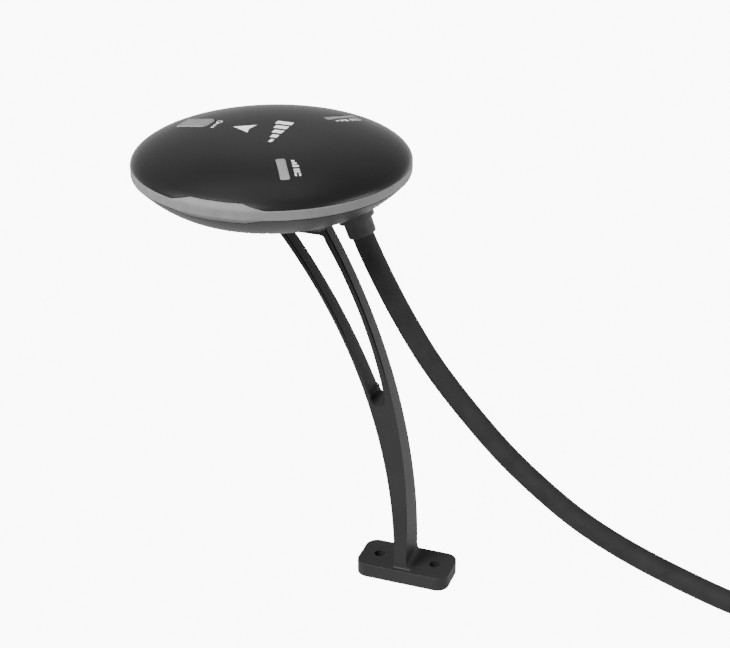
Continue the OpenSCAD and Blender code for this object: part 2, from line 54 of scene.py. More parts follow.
# ---- lead ----
# Ten wires in one soft black PVC jacket. It leaves the disc through the collar, hangs down
# to the surface, and what is left of it lies there in a flat coil with its plug.
class Sock:
    """A socket of a material's nodes. Operators on it add Math nodes, and node() adds any other."""

    def __init__(self, tree, out=None):
        self.tree, self.out = tree, out

    def node(self, kind, out=0, settings=None, stops=None, **inputs):
        made = self.tree.nodes.new("ShaderNode" + kind)
        for key, value in (settings or {}).items():
            setattr(made, key, value)
        for i, (at, value) in enumerate(stops or []):
            stop = made.color_ramp.elements[i] if i < 2 else made.color_ramp.elements.new(at)
            stop.position, stop.color = at, (*([value] * 3), 1)
        for key, value in inputs.items():
            key = int(key[1:]) if key[0] == "_" else key.replace("_", " ")
            if isinstance(value, Sock):
                self.tree.links.new(value.out, made.inputs[key])
            else:
                made.inputs[key].default_value = value
        return Sock(self.tree, made.outputs[out])

    def math(self, operation, *terms):
        numbered = {f"_{i}": term for i, term in enumerate(terms)}
        return self.node("Math", settings={"operation": operation}, **numbered)

    def __add__(self, other):
        return self.math("ADD", self, other)

    def __radd__(self, other):
        return self.math("ADD", other, self)

    def __sub__(self, other):
        return self.math("SUBTRACT", self, other)

    def __rsub__(self, other):
        return self.math("SUBTRACT", other, self)

    def __mul__(self, other):
        return self.math("MULTIPLY", self, other)

    def __rmul__(self, other):
        return self.math("MULTIPLY", other, self)

    def __gt__(self, other):
        return self.math("GREATER_THAN", self, other)

    def ramp(self, low, high):
        """0 below low, 1 above high."""
        return self.node("MapRange", Value=self, From_Min=low, From_Max=high)

    def noise(self, per_m, detail=2.0, rough=0.5):
        """Noise over this point, about 0.5 on average, with this many features in a metre."""
        return self.node("TexNoise", Vector=self, Scale=per_m, Detail=detail, Roughness=rough)

    def blend(self, a, b):
        """Colour a where this is 0 and b where it is 1."""
        return self.node("Mix", out=2, settings={"data_type": "RGBA"}, _0=self, _6=a, _7=b)


def grey(v):
    return (v, v, v, 1)


def surface(name, **fixed):
    """A new material with these fixed values, its shader and the point in the row frame."""
    made = bpy.data.materials.new(name)
    made.use_nodes = True
    shader = made.node_tree.nodes["Principled BSDF"]
    for key, value in fixed.items():
        shader.inputs[key.replace("_", " ")].default_value = value
    return made, shader, Sock(made.node_tree).node("TexCoord", out="Object")


def paint(shader, height=None, depth=0.0, **varying):
    """Feeds what varies over the surface to its shader. height is a bump of that depth in metres."""
    for key, value in varying.items():
        value.tree.links.new(value.out, shader.inputs[key.replace("_", " ")])
    if height is not None:
        bump = height.node("Bump", Strength=1.0, Distance=depth, Height=height)
        bump.tree.links.new(bump.out, shader.inputs["Normal"])


def loft(bm, rows, slot=0, closed=False):
    """Joins rings of points row by row. A row of one point closes an end; other ends get a flat face."""
    made = [[bm.verts.new(Vector(p) * MM) for p in row] for row in rows]
    pairs = list(zip(made, made[1:])) + ([(made[-1], made[0])] if closed else [])
    faces = []
    for a, b in pairs:
        n = max(len(a), len(b))
        for i in range(n):
            ring = [a[i % len(a)], a[(i + 1) % len(a)], b[(i + 1) % len(b)], b[i % len(b)]]
            faces.append(bm.faces.new(list(dict.fromkeys(ring))))
    if not closed:
        faces += [bm.faces.new(end) for end in (made[0], made[-1]) if len(end) > 2]
    for face in faces:
        face.material_index = slot
    return faces


def tube(bm, points, radius, sides, slot=0):
    """Round tube through points in millimetres. radius may be a function of the share run along it."""
    points = [Vector(p) for p in points]
    side, rows = Vector((0.12, 1, 0.05)), []
    for i, p in enumerate(points):
        ahead = (points[min(i + 1, len(points) - 1)] - points[max(i - 1, 0)]).normalized()
        side = (side - ahead * side.dot(ahead)).normalized()
        over = ahead.cross(side)
        r = radius(i / (len(points) - 1)) if callable(radius) else radius
        rows.append([p + r * (math.cos(a) * side + math.sin(a) * over)
                     for a in (2 * math.pi * k / sides for k in range(sides))])
    loft(bm, rows, slot)


def settle(name, bm, materials, body, replaced=(), sharp=35):
    """Makes the piece from its mesh, shades it and hangs it on its body."""
    bmesh.ops.remove_doubles(bm, verts=bm.verts, dist=1e-8)
    bmesh.ops.recalc_face_normals(bm, faces=bm.faces)
    mesh = bpy.data.meshes.new(name)
    bm.to_mesh(mesh)
    bm.free()
    for material in materials:
        mesh.materials.append(material)
    made = bpy.data.objects.new(name, mesh)
    bpy.context.scene.collection.objects.link(made)
    mesh.shade_smooth()
    mesh.set_sharp_from_angle(angle=math.radians(sharp))
    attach(made, body)
    if replaced:
        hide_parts(*replaced)
    return made


def curve_through(points, step):
    """Catmull-Rom curve through the points, sampled about every step."""
    points = [Vector(p) for p in points]
    points = [2 * points[0] - points[1], *points, 2 * points[-1] - points[-2]]
    made = []
    for p0, p1, p2, p3 in zip(points, points[1:], points[2:], points[3:]):
        t1 = (p1 - p0).length ** 0.5
        t2 = t1 + (p2 - p1).length ** 0.5
        t3 = t2 + (p3 - p2).length ** 0.5
        n = max(1, round((p2 - p1).length / step))
        for i in range(n):
            t = t1 + (t2 - t1) * i / n
            a1 = p0.lerp(p1, t / t1)
            a2 = p1.lerp(p2, (t - t1) / (t2 - t1))
            a3 = p2.lerp(p3, (t - t2) / (t3 - t2))
            made.append(a1.lerp(a2, t / t2).lerp(a2.lerp(a3, (t - t1) / (t3 - t1)), (t - t1) / (t2 - t1)))
    return [*made, points[-2]]


EXIT = Vector((-10.7, 0, 83.6))
COLLAR_TILT = math.radians(20.5)
AXIS = Vector((-math.sin(COLLAR_TILT), 0, math.cos(COLLAR_TILT)))
JACKET_R = 2.4
LYING = JACKET_R + 0.02
COIL = Vector((108, 20, 0))
COIL_R, COIL_TURNS, COIL_START = 20, 1.25, -90
ARRIVES = 4.3
TAIL_L, SLEEVE_L, FAN_L = 16.5, 7, 14
TIE_ANGLE, STRAP_T, TIE_REACH = -30, 0.52, 22
hanging = curve_through(
    [EXIT + 8 * AXIS, EXIT, (-7.4, 0, 76.5), (-1.7, 0, 66), (5.1, 0, 55.5), (13.5, 0, 45.3),
     (23.4, 0, 35.1), (35.7, 0, 25.3), (43.2, 0, 20.7), (52.1, 0, 16.5), (62.6, 0, 12.6), (74, 0, 9.1),
     (80, 0, 8), (86, 0, 7.4), (92, 0, 7.2), (96, 0, 7.1), (100, 0, 6.5), (104, 0, 5.4), (107, 0, 4.6)], 1.0)
coiled = []
for degrees in range(COIL_START, COIL_START + round(360 * COIL_TURNS) + 1, 3):
    gone = degrees - COIL_START
    r = COIL_R + 2 * JACKET_R * gone / 360
    sunk = min(1, gone / 36)
    beside_tie = abs((degrees - TIE_ANGLE + 180) % 360 - 180)
    z = ARRIVES + (LYING - ARRIVES) * sunk * sunk * (3 - 2 * sunk)
    z = max(z, LYING + STRAP_T * max(0, 1 - (beside_tie / TIE_REACH) ** 2) ** 2)
    angle = math.radians(degrees)
    coiled.append(COIL + Vector((r * math.cos(angle), r * math.sin(angle), z)))


def beyond(x, y, z):
    """A point beside and along the straight end of the lead, from where it leaves the coil."""
    return COIL + Vector((COIL_R + 2 * JACKET_R * COIL_TURNS + x, y, z))


tail = [beyond(0, k, LYING + 0.38 * (k / TAIL_L) ** 2) for k in range(1, 18)]
route = hanging + coiled + tail

jacket, shader, point = surface("jacket", Specular_IOR_Level=0.16)
mottle = point.noise(260, 3)
fine = point.noise(2600, 2)
paint(shader, height=fine * 0.6 + point.noise(700, 2) * 0.8, depth=0.00005,
      Base_Color=mottle.ramp(0.3, 0.7).blend(grey(0.014), grey(0.02)),
      Roughness=0.6 + 0.1 * mottle + 0.05 * fine)
bm = bmesh.new()
tube(bm, route, JACKET_R, 32)
lead = settle("lead", bm, [jacket], "root", ["cable", "cable_coil", "cable_tail"], 50)

# ---- studio ----
# A white table in a dim room. The table and the far wall read white, but throw little light on
# the object, less in front of it than behind. Three soft lights model it, and the room's own
# light falls off with height so that its satin top stays dark.
PAPER = 10.0


def lit_for_camera(tree, seen, otherwise):
    """Strength that the camera sees, and the one that lights the object."""
    ray = Sock(tree).node("LightPath", out="Is Camera Ray")
    return ray * (seen - otherwise) + otherwise


floor_look, shader, point = surface("floor", Base_Color=grey(0.12), Roughness=0.9, Emission_Color=grey(1))
back = point.node("SeparateXYZ", out="Y", Vector=point).ramp(-0.1, 0.2)
aside = point.node("SeparateXYZ", out="X", Vector=point).ramp(-0.05, 0.2)
glow = 0.35 + 0.85 * back + 1.0 * aside
paint(shader, Emission_Strength=lit_for_camera(floor_look.node_tree, PAPER, glow))
bm = bmesh.new()
bmesh.ops.create_grid(bm, x_segments=1, y_segments=1, size=6)
bmesh.ops.translate(bm, verts=bm.verts, vec=(0, 0, -0.0002))
floor_mesh = bpy.data.meshes.new("floor")
bm.to_mesh(floor_mesh)
bm.free()
floor_mesh.materials.append(floor_look)
floor = bpy.data.objects.new("floor", floor_mesh)
bpy.context.scene.collection.objects.link(floor)

world = bpy.data.worlds.new("studio")
world.use_nodes = True
sky = Sock(world.node_tree)
height = sky.node("SeparateXYZ", out="Z", Vector=sky.node("TexCoord", out="Generated"))
room = height.node("ValToRGB", stops=[(0.0, 0.85), (0.2, 0.5), (0.45, 0.33), (1.0, 0.12)], Fac=height)
strength = lit_for_camera(world.node_tree, PAPER, 1.0)
ray = sky.node("LightPath", out="Is Camera Ray")
background = world.node_tree.nodes["Background"]
world.node_tree.links.new(ray.blend(room, grey(1)).out, background.inputs["Color"])
world.node_tree.links.new(strength.out, background.inputs["Strength"])
bpy.context.scene.world = world


def softbox(name, at, aim, width, height, power):
    lamp = bpy.data.lights.new(name, "AREA")
    lamp.shape, lamp.size, lamp.size_y, lamp.energy = "RECTANGLE", width, height, power
    made = bpy.data.objects.new(name, lamp)
    made.location = at
    made.rotation_euler = (Vector(aim) - Vector(at)).to_track_quat("-Z", "Y").to_euler()
    bpy.context.scene.collection.objects.link(made)


softbox("overhead", (-0.2, 0.2, 1.0), (-0.02, 0, 0.06), 0.7, 0.7, 1.0)
softbox("right", (0.9, 0.05, 0.35), (0, 0, 0.04), 0.5, 0.5, 4.2)
softbox("front", (-0.5, -0.72, 0.88), (-0.02, 0, 0.06), 0.5, 0.5, 34)


# ---- top cover ----
# A shallow dome moulded in dark polycarbonate with a satin face. It drops over the bowl's rim,
# four screws from below hold it, and its edge dips at the flanks where the light ring rises.
PUCK_X, PUCK_R, PUCK_Z = -31.2, 30, 88
BOWL_FLAT_R, BOWL_H, DOME_H = 9.6, 8.2, 6
RING_LOW, RING_TOP, DOME_Z0 = 96.2, 98.3, 98.05
WALL, SEAM = 1.6, 0.06
RIM = ((0.05, 0.02), (0.085, 0.06), (0.1, 0.12))
RIM_H = 0.1
AROUND = 288


def puck(x, y, z):
    return Vector((PUCK_X + x, y, z))


def polar(r, angle, z):
    return puck(r * math.cos(angle), r * math.sin(angle), z)


def dome_z(r):
    return DOME_Z0 + DOME_H * (1 - min(1, r / PUCK_R) ** 3) ** (1 / 1.7)


def dome_r(z):
    return PUCK_R * (1 - (max(0, z - DOME_Z0) / DOME_H) ** 1.7) ** (1 / 3)


def bowl_z(r):
    return PUCK_Z + BOWL_H * (max(0, r - BOWL_FLAT_R) / (PUCK_R - BOWL_FLAT_R)) ** 2.75


def bowl_r(z):
    return BOWL_FLAT_R + (PUCK_R - BOWL_FLAT_R) * (max(0, z - PUCK_Z) / BOWL_H) ** (1 / 2.75)


def outer_r(z):
    return bowl_r(z) if z < RING_LOW else dome_r(z)


def tab(angle, root, tip):
    """0 away from the flank, 1 along the light ring's flank tab."""
    x = abs(29.5 * math.cos(angle))
    return min(1, max(0, (root - x) / (root - tip)))


def ring_high(angle):
    return RING_TOP + 1.15 * tab(angle, 10, 5.7)


def ring_low(angle):
    return RING_LOW - 0.95 * tab(angle, 9.5, 6.3)


def around(row):
    """A ring of points from a function of the angle."""
    return [row(2 * math.pi * k / AROUND) for k in range(AROUND)]


def on_dome(r, angle):
    return polar(r, angle, dome_z(r))


def on_bowl(r, angle):
    return polar(r, angle, bowl_z(r))


def evaluated(made):
    """Puts the piece's modifiers into its mesh."""
    result = bpy.data.meshes.new_from_object(made.evaluated_get(bpy.context.evaluated_depsgraph_get()))
    made.modifiers.clear()
    made.data = result


def carve(made, cutter, operation="DIFFERENCE"):
    """Cuts a closed mesh out of the piece, or joins it on."""
    bmesh.ops.recalc_face_normals(cutter, faces=cutter.faces)
    mesh = bpy.data.meshes.new("cutter")
    cutter.to_mesh(mesh)
    cutter.free()
    tool = bpy.data.objects.new("cutter", mesh)
    bpy.context.scene.collection.objects.link(tool)
    step = made.modifiers.new("carve", "BOOLEAN")
    step.operation, step.object, step.solver = operation, tool, "EXACT"
    evaluated(made)
    bpy.data.objects.remove(tool)


def soften(made, width, sharp=35, segments=2):
    """Rounds the edges that are sharper than an angle."""
    step = made.modifiers.new("soften", "BEVEL")
    step.width, step.segments, step.limit_method = width * MM, segments, "ANGLE"
    step.angle_limit, step.harden_normals = math.radians(sharp), False
    step.use_clamp_overlap = True
    evaluated(made)
    made.data.shade_smooth()
    made.data.set_sharp_from_angle(angle=math.radians(sharp + 5))
    made.modifiers.new("flat faces", "WEIGHTED_NORMAL").keep_sharp = True
    evaluated(made)


def slot_outline(r_in, r_out, width, inner, outer, grow=0.0):
    """Rounded slot along a radius: (along, across) points, with corner radii at its two ends."""
    made = []
    corners = ((r_out, 1, outer, 0), (r_in, 1, inner, 90), (r_in, -1, inner, 180), (r_out, -1, outer, 270))
    for x, y, c, start in corners:
        sign = 1 if x == r_out else -1
        c += grow
        for k in range(7):
            a = math.radians(start + 15 * k)
            made.append((x + sign * (grow - c) + c * math.cos(a),
                         y * (width / 2 + grow - c) + c * math.sin(a)))
    return made


def turned(outline, degrees):
    c, s = math.cos(math.radians(degrees)), math.sin(math.radians(degrees))
    return [(x * c - y * s, x * s + y * c) for x, y in outline]


def prism(bm, outline, low, high):
    """Upright prism on an outline in the disc's own plane."""
    loft(bm, [[puck(x, y, z) for x, y in outline] for z in (low, high)])


BUTTON = dict(r_in=14.5, r_out=22.4, width=5.6, inner=1.9, outer=0.8)
LAMP = dict(r_in=14.9, r_out=23.2, width=2.1, inner=0.6, outer=0.6)
BUTTON_ANGLE, LAMP_ANGLE = 173, 60.3

cover_look, shader, point = surface("cover", Specular_IOR_Level=0.36)
grain = point.noise(5200, 2)
cloud = point.noise(60, 3)
paint(shader, height=grain, depth=0.000012,
      Base_Color=cloud.ramp(0.3, 0.7).blend(grey(0.0055), grey(0.008)),
      Roughness=0.27 + 0.08 * cloud + 0.04 * grain)
rows = [[puck(0, 0, dome_z(0))]]
for i in range(1, 31):
    share = math.sin(math.pi / 2 * i / 30)
    rows.append(around(lambda a: on_dome(dome_r(ring_high(a) + SEAM + RIM_H) * share, a)))
for drop, tuck in RIM:
    rows.append(around(lambda a: polar(dome_r(ring_high(a) + SEAM) - tuck, a,
                                       ring_high(a) + SEAM + RIM_H - drop)))
rows.append(around(lambda a: polar(26, a, ring_high(a) + SEAM)))
for r in (25.9, 22, 18, 14, 9, 4):
    rows.append(around(lambda a: polar(r, a, dome_z(r) - WALL)))
rows.append([puck(0, 0, dome_z(0) - WALL)])
bm = bmesh.new()
loft(bm, rows)
cover = settle("top_cover_shell", bm, [cover_look], "root", ["top_cover"])
for slot, angle in ((BUTTON, BUTTON_ANGLE), (LAMP, LAMP_ANGLE), (LAMP, -LAMP_ANGLE)):
    cutter = bmesh.new()
    prism(cutter, turned(slot_outline(**slot), angle), RING_LOW, DOME_Z0 + 2 * DOME_H)
    carve(cover, cutter)
cover.data.shade_smooth()
cover.data.set_sharp_from_angle(angle=math.radians(35))


# ---- light ring ----
# A frosted light guide squeezed between the two shells. It shows as a pale band that widens
# into a tab on each flank, and its moulding is a little uneven inside.
RING_IN = 27.3
EASED = ((0, 0.14), (0.03, 0.06), (0.08, 0.015), (0.16, 0))


def ring_row(a):
    """The ring's section at one angle: eased at both edges, flush with the shells between them."""
    low, high = ring_low(a), ring_high(a)
    straight = (low + 0.16 + (high - low - 0.32) * k / 13 for k in range(1, 13))
    outside = [(outer_r(low + d) - t, low + d) for d, t in EASED]
    outside += [(outer_r(z), z) for z in straight]
    outside += [(outer_r(high - d) - t, high - d) for d, t in reversed(EASED)]
    return [polar(r, a, z) for r, z in [(RING_IN, low), *outside, (RING_IN, high)]]


ring_look, shader, point = surface("light_ring", Specular_IOR_Level=0.3)
haze = point.noise(420, 4)
pores = point.noise(3400, 2)
paint(shader, height=pores, depth=0.00002,
      Base_Color=haze.ramp(0.32, 0.68).blend(grey(0.145), grey(0.17)),
      Roughness=0.55 + 0.12 * haze)
bm = bmesh.new()
loft(bm, list(zip(*around(ring_row))), closed=True)
settle("light_ring_guide", bm, [ring_look], "root", ["light_ring"], 40)

# ---- bottom cover ----
# A shallow bowl in the same dark polycarbonate. It has a flat pad for the mast, four screw
# pockets, a hole for the collar and a row of sound slots for the buzzer.
bowl_look, shader, point = surface("bowl", Specular_IOR_Level=0.36)
grain = point.noise(4200, 2)
cloud = point.noise(70, 3)
paint(shader, height=grain, depth=0.00002,
      Base_Color=cloud.ramp(0.3, 0.7).blend(grey(0.009), grey(0.012)),
      Roughness=0.36 + 0.1 * cloud + 0.05 * grain)
rows = [[puck(0, 0, PUCK_Z)]]
for r in (3, 6, 8.6, 9.5):
    rows.append(around(lambda a: on_bowl(r, a)))
for i in range(1, 25):
    share = math.sin(math.pi / 2 * i / 24)
    rows.append(around(lambda a: on_bowl(
        BOWL_FLAT_R + (bowl_r(ring_low(a) - SEAM - RIM_H) - BOWL_FLAT_R) * share, a)))
for rise, tuck in RIM:
    rows.append(around(lambda a: polar(bowl_r(ring_low(a) - SEAM) - tuck, a,
                                       ring_low(a) - SEAM - RIM_H + rise)))
rows.append(around(lambda a: polar(26.4, a, ring_low(a) - SEAM)))
for r in (26.2, 23, 20, 17, 14, 11, 9, 4):
    rows.append(around(lambda a: polar(r, a, bowl_z(r) + WALL)))
rows.append([puck(0, 0, PUCK_Z + WALL)])
bm = bmesh.new()
loft(bm, rows)
bowl = settle("bottom_cover_shell", bm, [bowl_look], "root", ["bottom_cover"])


def disc(bm, at, radius, length, axis=Vector((0, 0, 1)), sides=48, top=None):
    """Cylinder from a point along an axis, in millimetres. top is its far end's radius."""
    turn = Matrix.Translation(Vector(at) * MM) @ axis.to_track_quat("Z", "Y").to_matrix().to_4x4()
    bmesh.ops.create_cone(bm, cap_ends=True, segments=sides, radius1=radius * MM,
                          radius2=(top or radius) * MM, depth=length * MM,
                          matrix=turn @ Matrix.Translation((0, 0, length * MM / 2)))


COVER_SCREWS = [(-9.5, 16), (-9.5, -16), (15.8, 9.6), (15.8, -9.6)]
POCKET_R, POCKET_Z, COLLAR_HOLE_R = 2.0, 90.1, 4.05
VENT = dict(r_in=15.5, r_out=23.4, width=0.8, inner=0.38, outer=0.38)
VENT_ANGLE, VENT_STEP, VENT_TOP = -80, 4.8, 92.8
BELOW = 2
cutter = bmesh.new()
disc(cutter, EXIT + AXIS, COLLAR_HOLE_R, 9, AXIS)
carve(bowl, cutter)
cutter = bmesh.new()
for x, y in COVER_SCREWS:
    disc(cutter, puck(x, y, PUCK_Z - BELOW), POCKET_R, POCKET_Z - PUCK_Z + BELOW)
carve(bowl, cutter)
for i in range(-2, 3):
    cutter = bmesh.new()
    prism(cutter, turned(slot_outline(**VENT), VENT_ANGLE + VENT_STEP * i), PUCK_Z - BELOW, VENT_TOP)
    carve(bowl, cutter)
soften(bowl, 0.1)


# ---- button and lamp windows ----
# A frosted press button floats in its slot over the safety switch, a hair proud of the dome.
# Two clear-frosted windows, glued in flush, show the fix lamps under them.
def inset(outline, d):
    """The outline moved inward by d."""
    made = []
    for i, (x, y) in enumerate(outline):
        (x0, y0), (x1, y1) = outline[i - 1], outline[(i + 1) % len(outline)]
        tx, ty = x1 - x0, y1 - y0
        n = math.hypot(tx, ty) or 1
        made.append((x - d * ty / n, y + d * tx / n))
    return made


def dome_slab(bm, outline, proud, depth, edge, slot=0):
    """A slab on an outline that follows the dome, with a rounded top edge."""
    cx, cy = (sum(p[k] for p in outline) / len(outline) for k in (0, 1))
    rows = [[puck(cx, cy, dome_z(math.hypot(cx, cy)) + proud)]]
    core = inset(outline, edge)
    for share in (0.2, 0.4, 0.6, 0.8, 1):
        rows.append([puck(x, y, dome_z(math.hypot(x, y)) + proud)
                     for x, y in ((cx + (a - cx) * share, cy + (b - cy) * share) for a, b in core)])
    for k in (30, 60, 90):
        away, drop = edge * math.sin(math.radians(k)), edge * (1 - math.cos(math.radians(k)))
        rows.append([puck(x, y, dome_z(math.hypot(x, y)) + proud - drop)
                     for x, y in inset(outline, edge - away)])
    rows.append([puck(x, y, dome_z(math.hypot(x, y)) - depth) for x, y in outline])
    rows.append([puck(cx, cy, dome_z(math.hypot(cx, cy)) - depth)])
    loft(bm, rows, slot)


button_look, shader, point = surface("button", Specular_IOR_Level=0.45)
haze = point.noise(500, 3)
paint(shader, height=point.noise(5200, 2), depth=0.00002,
      Base_Color=haze.ramp(0.3, 0.7).blend(grey(0.165), grey(0.195)), Roughness=0.45 + 0.1 * haze)
SWITCH_R, PLUNGER_TOP = 18, 97.06
PROUD, LIP_TOP = 0.2, -1.8
bm = bmesh.new()
dome_slab(bm, turned(slot_outline(**BUTTON, grow=-0.17), BUTTON_ANGLE), PROUD, 1.4, 0.25)
dome_slab(bm, turned(slot_outline(**BUTTON, grow=0.6), BUTTON_ANGLE), LIP_TOP, 2.3, 0.1)
disc(bm, polar(SWITCH_R, math.radians(BUTTON_ANGLE), PLUNGER_TOP), 1.2,
     dome_z(SWITCH_R) + LIP_TOP - PLUNGER_TOP)
settle("safety_button_cap", bm, [button_look], "button", ["safety_button"])

lens_look, shader, point = surface("lamp_window", Specular_IOR_Level=0.5)
haze = point.noise(650, 3)
paint(shader, height=point.noise(5200, 2), depth=0.00001,
      Base_Color=haze.ramp(0.3, 0.7).blend(grey(0.2), grey(0.235)), Roughness=0.32 + 0.1 * haze)
LAMP_R, LAMP_TOP, WINDOW_T = 19.05, 95.0, 2.0
for name, side in (("front", -1), ("rear", 1)):
    bm = bmesh.new()
    dome_slab(bm, turned(slot_outline(**LAMP, grow=-0.03), side * LAMP_ANGLE), 0.0, WINDOW_T, 0.08)
    disc(bm, polar(LAMP_R, side * math.radians(LAMP_ANGLE), LAMP_TOP), 0.9,
         dome_z(LAMP_R) - WINDOW_T - LAMP_TOP)
    settle(f"lamp_window_{name}", bm, [lens_look], "root", [f"fix_window_{name}"])

# ---- printed marks ----
# Pad-printed white ink: a heading arrow, a set of rising signal bars in the middle, and a
# small plain symbol beside the button and each lamp. The ink is a few hundredths thick.
INK = 0.02


def ink(name, shade, shapes):
    look, shader, point = surface(name, Specular_IOR_Level=0.3)
    worn = point.noise(2400, 4)
    paint(shader, height=worn, depth=0.000006,
          Base_Color=worn.ramp(0.25, 0.45).blend(grey(shade * 0.8), grey(shade)),
          Roughness=0.5 + 0.15 * worn)
    bm = bmesh.new()
    for shape in shapes:
        dome_slab(bm, shape, INK, 0.05, 0.01)
    settle(name, bm, [look], "root")


def bar(x0, x1, y0, y1):
    """Upright rectangle with enough points to follow the dome."""
    corners = [(x1, y0), (x1, y1), (x0, y1), (x0, y0)]
    return [(x + (u - x) * k / 4, y + (v - y) * k / 4)
            for (x, y), (u, v) in zip(corners, corners[1:] + corners[:1]) for k in range(4)]


def ring_bits(x, y, r, width, parts=14):
    """A printed circle as short pieces."""
    made = []
    for k in range(parts):
        a, b = (2 * math.pi * (k + e) / parts for e in (0, 1.02))
        edge = [(r + width, t) for t in (a, (a + b) / 2, b)] + [(r, t) for t in (b, (a + b) / 2, a)]
        made.append([(x + q * math.cos(t), y + q * math.sin(t)) for q, t in edge])
    return made


WHITE, FADED = 0.86, 0.7
arrow = [[(-4.5, 3.1), (-5.2, 0.35), (-8.9, 0.6)], [(-5.2, 0.35), (-4.6, -1.9), (-8.9, 0.6)]]
ink("printed_heading_arrow", WHITE, arrow)
ink("printed_signal_bars", WHITE,
    [bar(2.4 - 0.75 * (k + 1), 2.4, -5.6 + 2.75 * k, -3.9 + 2.75 * k) for k in range(5)])
beside_lamp = [bar(LAMP_R - 3.2 + 1.1 * k, LAMP_R - 2.45 + 1.1 * k, 2.1, 2.75 + 0.3 * k) for k in range(3)]
beside_lamp += [bar(LAMP_R + x0, LAMP_R + x1, y0, y1) for x0, x1, y0, y1 in
                ((0.5, 1.0, 2.1, 3.35), (1.3, 1.8, 2.1, 3.35), (2.1, 3.1, 2.1, 2.5), (2.1, 3.1, 2.95, 3.35))]
symbols = [turned(shape, -LAMP_ANGLE) for shape in beside_lamp]
symbols += [[(x, -y) for x, y in turned(shape, -LAMP_ANGLE)][::-1] for shape in beside_lamp]
symbols += [bar(-13.65, -13.0, -0.9 + 1.25 * k, -0.2 + 1.25 * k) for k in range(3)]
symbols += ring_bits(-13.3, 3.1, 0.45, 0.25)
ink("printed_symbols", FADED, symbols)

# ---- mast ----
# One black glass-filled nylon moulding: a foot with two holes, a swept stem that forks into
# two prongs round a long slot, and a plate that four screws hold under the disc.
PLATE_X, PLATE_Z, FOOT_T = -27.2, 86, 3.4
FOOT_L, FOOT_W, FOOT_HOLE_X = 22, 10.9, 6.675
EDGES = dict(left=(-1.7, 1.5, -5.5), left_in=(1.05, -5.1, -3.7),
             right_in=(-2.2, 20.5, 5.6), right=(1.2, 9.9, 7.8))
CROTCH, BRIDGE, GAP_CORNER = 45.4, 82.6, 1.2
PLATE_SCREWS = [(PLATE_X + sx * 7.4, sy * 3.6) for sx in (-1, 1) for sy in (-1, 1)]


def edge_x(name, z):
    x0, z0, top = EDGES[name]
    run, rise = x0 - PLATE_X - top, PLATE_Z - z0
    radius = (run * run + rise * rise) / (2 * run)
    return x0 - radius + math.sqrt(radius * radius - (z - z0) ** 2)


def half_depth(z):
    return 1.5 + 3.1 * (1 - z / PUCK_Z) ** 2.2


def round_plate(l, w, corner, x, z0, z1, edge):
    """Plate with rounded corners and eased edges."""
    def ring(shrink, z):
        made = []
        for cx, cy, start in ((1, 1, 0), (-1, 1, 90), (-1, -1, 180), (1, -1, 270)):
            for k in range(9):
                a = math.radians(start + 90 * k / 8)
                r = corner - shrink
                made.append((x + cx * (l / 2 - corner) + r * math.cos(a),
                             cy * (w / 2 - corner) + r * math.sin(a), z))
        return made
    bm = bmesh.new()
    third = 0.35 * edge
    loft(bm, [ring(*row) for row in ((edge, z0), (third, z0 + third), (0, z0 + edge),
                                     (0, z1 - edge), (third, z1 - third), (edge, z1))])
    return bm


nylon, shader, point = surface("nylon", Specular_IOR_Level=0.3)
grain = point.noise(3800, 3)
flow = point.noise(90, 3)
paint(shader, height=grain, depth=0.00004,
      Base_Color=flow.ramp(0.3, 0.7).blend(grey(0.012), grey(0.016)),
      Roughness=0.45 + 0.12 * flow + 0.06 * grain)
levels = [3.1, 3.4, 3.5, 3.65, 3.9, 4.3, 4.8, 5.4] + [5.4 + (86.4 - 5.4) * k / 64 for k in range(1, 65)]
rows = []
for z in levels:
    up = max(0, z - FOOT_T)
    flare = 2 - math.sqrt(4 - (2 - up) ** 2) if up < 2 else 0
    toe = 0.5 - math.sqrt(0.25 - (0.5 - up) ** 2) if up < 0.5 else 0
    left, right, half = edge_x("left", z) - toe, edge_x("right", z) + flare, half_depth(z) + toe
    rows.append([(left, -half, z), (right, -half, z), (right, half, z), (left, half, z)])
bm = bmesh.new()
loft(bm, rows)
mast = settle("mast_moulding", bm, [nylon], "root", ["bracket"])


def gap(y):
    """The fork's slot at one depth. Its left wall and crotch are drafted, so it narrows to the back."""
    lean, rise = 0.07 + 0.18 * y, 0.27 * (y + 2.2)
    left, right = edge_x("left_in", CROTCH) + lean, edge_x("right_in", CROTCH)
    middle, r = (left + right) / 2, (right - left) / 2
    low, top = CROTCH + rise, BRIDGE - GAP_CORNER
    made = [(middle + r * math.cos(math.radians(a)), y, low + r * math.sin(math.radians(a)))
            for a in range(180, 360, 12)]
    made += [(edge_x("right_in", z), y, z) for z in (low + (top - low) * k / 40 for k in range(41))]
    for a in (math.radians(15 * k) for k in range(1, 7)):
        made.append((edge_x("right_in", top) - GAP_CORNER * (1 - math.cos(a)), y,
                     top + GAP_CORNER * math.sin(a)))
    return made + [(edge_x("left_in", z) + lean, y, z)
                   for z in (BRIDGE - (BRIDGE - low) * k / 40 for k in range(40))]


